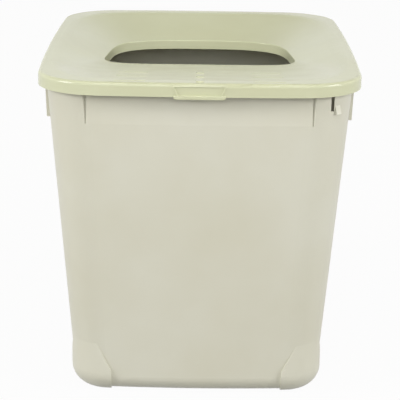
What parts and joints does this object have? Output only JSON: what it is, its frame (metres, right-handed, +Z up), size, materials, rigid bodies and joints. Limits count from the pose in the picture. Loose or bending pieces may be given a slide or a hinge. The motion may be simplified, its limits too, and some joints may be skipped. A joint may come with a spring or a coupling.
{
  "type": "top entry litter box",
  "caption": "Tall tapered litter tub with a hinged lid, dished towards an entry opening for a cat, with a front lift tab, side lift skirts and moulded feet.",
  "frame": {"origin": "on the floor, under the middle of the closed lid", "axes": "+Z up, -Y towards the front with the lift tab, +X towards the right as seen from the front"},
  "size_m": [0.3866, 0.5316, 0.3977],
  "materials": {
    "tub_plastic": "satin moulded polypropylene",
    "lid_plastic": "satin moulded polypropylene",
    "pin_plastic": "satin moulded acetal"
  },
  "bodies": {
    "tub": {"tub": "tub_plastic", "left_hinge_pin": "pin_plastic", "right_hinge_pin": "pin_plastic"},
    "lid": {"lid": "lid_plastic"}
  },
  "joints": [
    {"name": "lid_hinge", "type": "hinge", "parent": "tub", "child": "lid", "pos_m": [0, 0.2635, 0.3883], "axis": [-1, 0, 0], "range_deg": [0, 105]}
  ]
}
